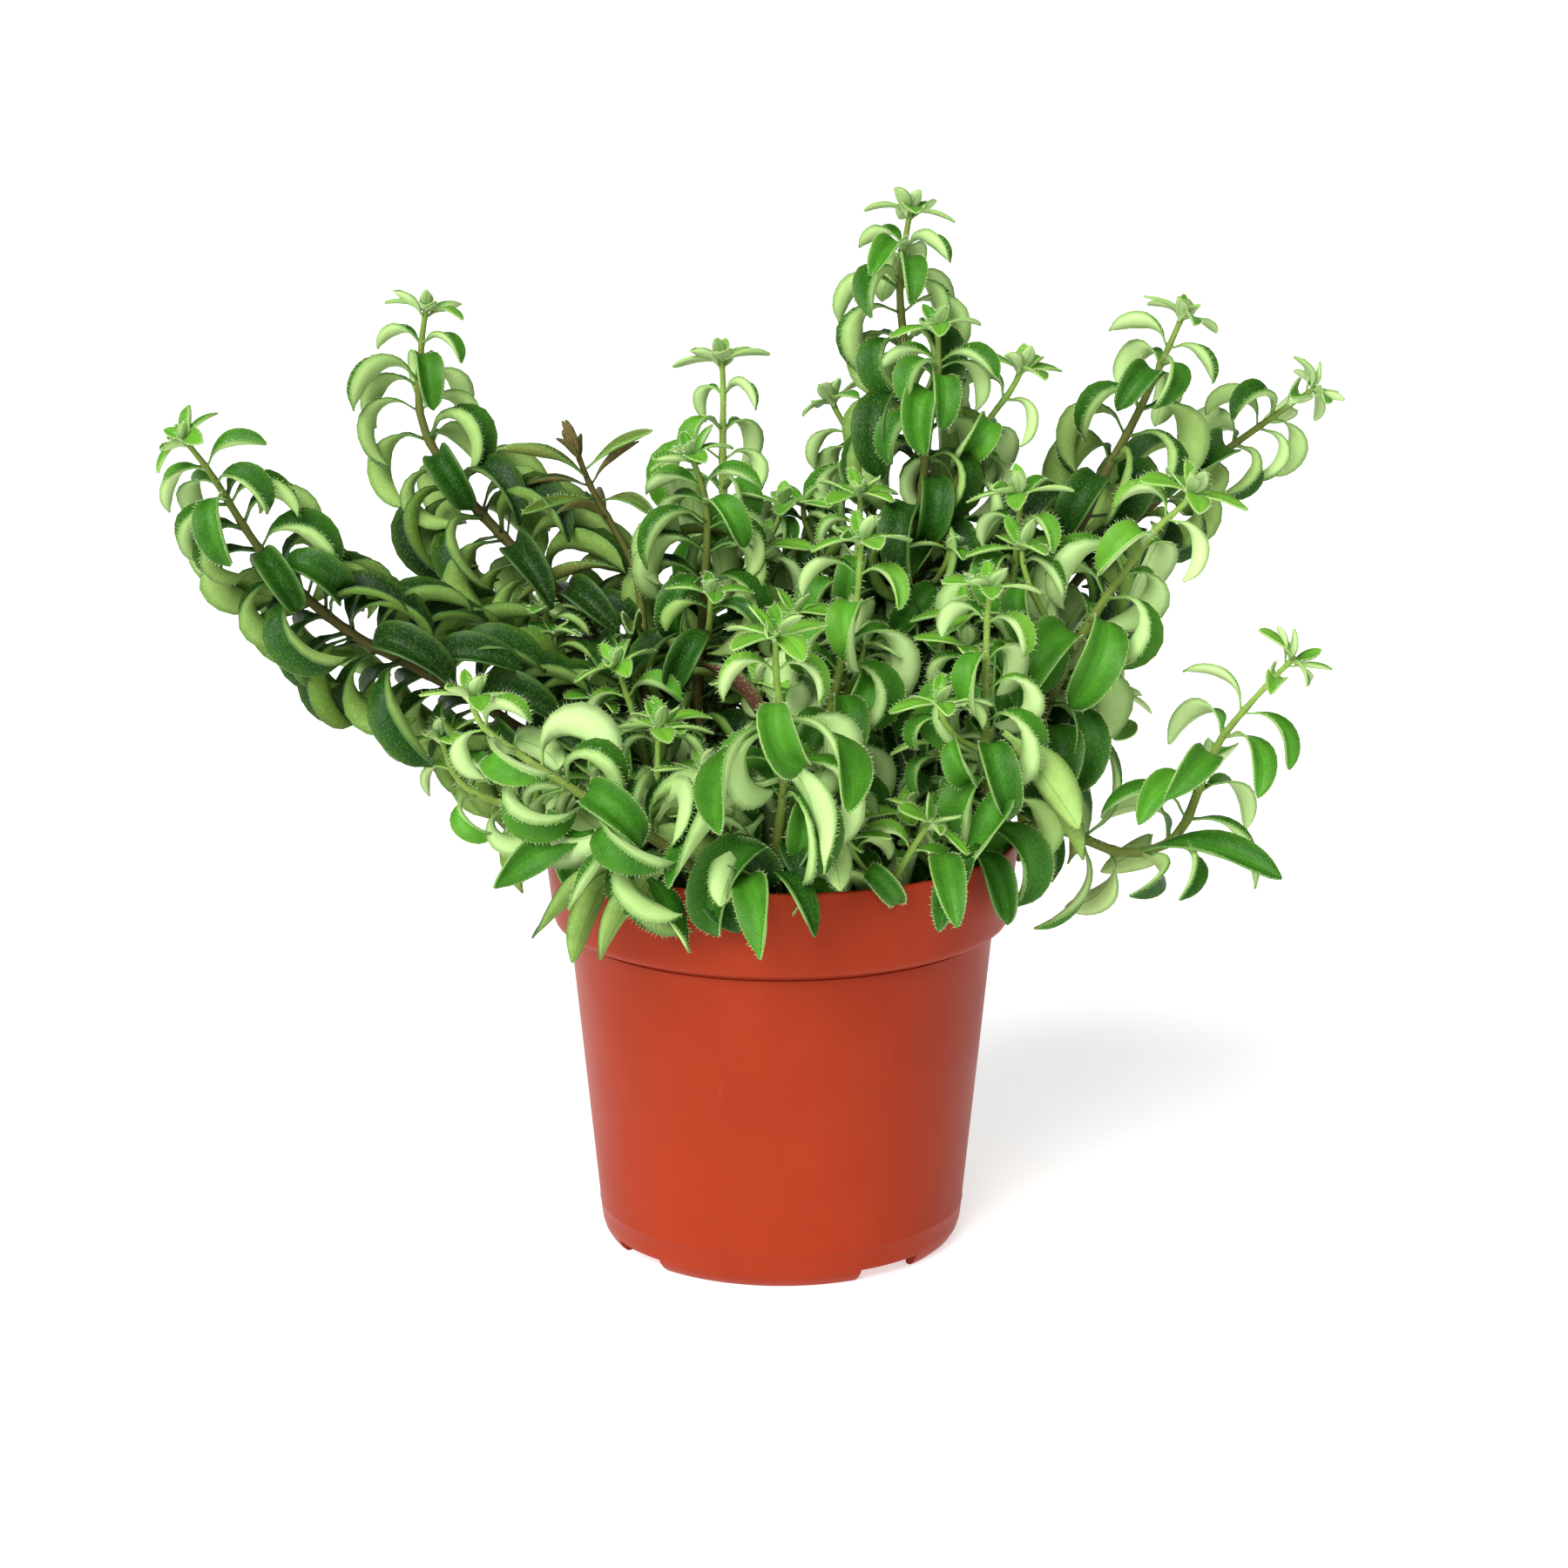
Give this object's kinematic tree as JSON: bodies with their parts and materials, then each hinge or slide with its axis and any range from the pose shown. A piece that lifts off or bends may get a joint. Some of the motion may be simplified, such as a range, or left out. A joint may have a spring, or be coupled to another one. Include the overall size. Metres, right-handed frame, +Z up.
{
  "type": "potted lipstick plant",
  "caption": "Curly-leaved lipstick plant with arching leafy stems, rooted in soil in a terracotta-coloured plastic nursery pot.",
  "frame": {"origin": "on the pot's axis at the level of its foot, where it stands", "axes": "+Z up along the pot's axis, -Y towards the plant's front, +X to its right seen from the front"},
  "size_m": [0.2568, 0.1504, 0.2324],
  "materials": {
    "pot_plastic": "satin",
    "soil": "matte",
    "foliage_old": "satin",
    "foliage_young": "satin",
    "foliage_red": "satin"
  },
  "bodies": {
    "root": {"leaf_dark_over_rim": "foliage_old", "leaf_large_right": "foliage_young", "leaf_old_red": "foliage_red", "leaf_over_rim": "foliage_young", "leaf_rim_left": "foliage_young", "leaf_rim_right": "foliage_young", "nursery_pot": "pot_plastic", "potting_soil": "soil", "shoot_back_fork": "foliage_old", "shoot_back_left": "foliage_old", "shoot_back_low": "foliage_young", "shoot_back_low_left": "foliage_young", "shoot_back_middle": "foliage_old", "shoot_back_right": "foliage_old", "shoot_back_side": "foliage_young", "shoot_back_star": "foliage_young", "shoot_bud_stem": "foliage_old", "shoot_centre_star": "foliage_young", "shoot_centre_tall": "foliage_old", "shoot_front_left": "foliage_young", "shoot_front_right": "foliage_young", "shoot_front_rosette": "foliage_young", "shoot_left_long": "foliage_old", "shoot_left_small": "foliage_young", "shoot_left_upper": "foliage_old", "shoot_low_front": "foliage_young", "shoot_middle_left": "foliage_young", "shoot_middle_right": "foliage_young", "shoot_middle_rosette": "foliage_old", "shoot_middle_star": "foliage_young", "shoot_right_far": "foliage_old", "shoot_right_fork": "foliage_young", "shoot_right_low": "foliage_young", "shoot_right_star": "foliage_young", "shoot_right_upper": "foliage_old", "shoot_tallest": "foliage_old"}
  },
  "joints": []
}
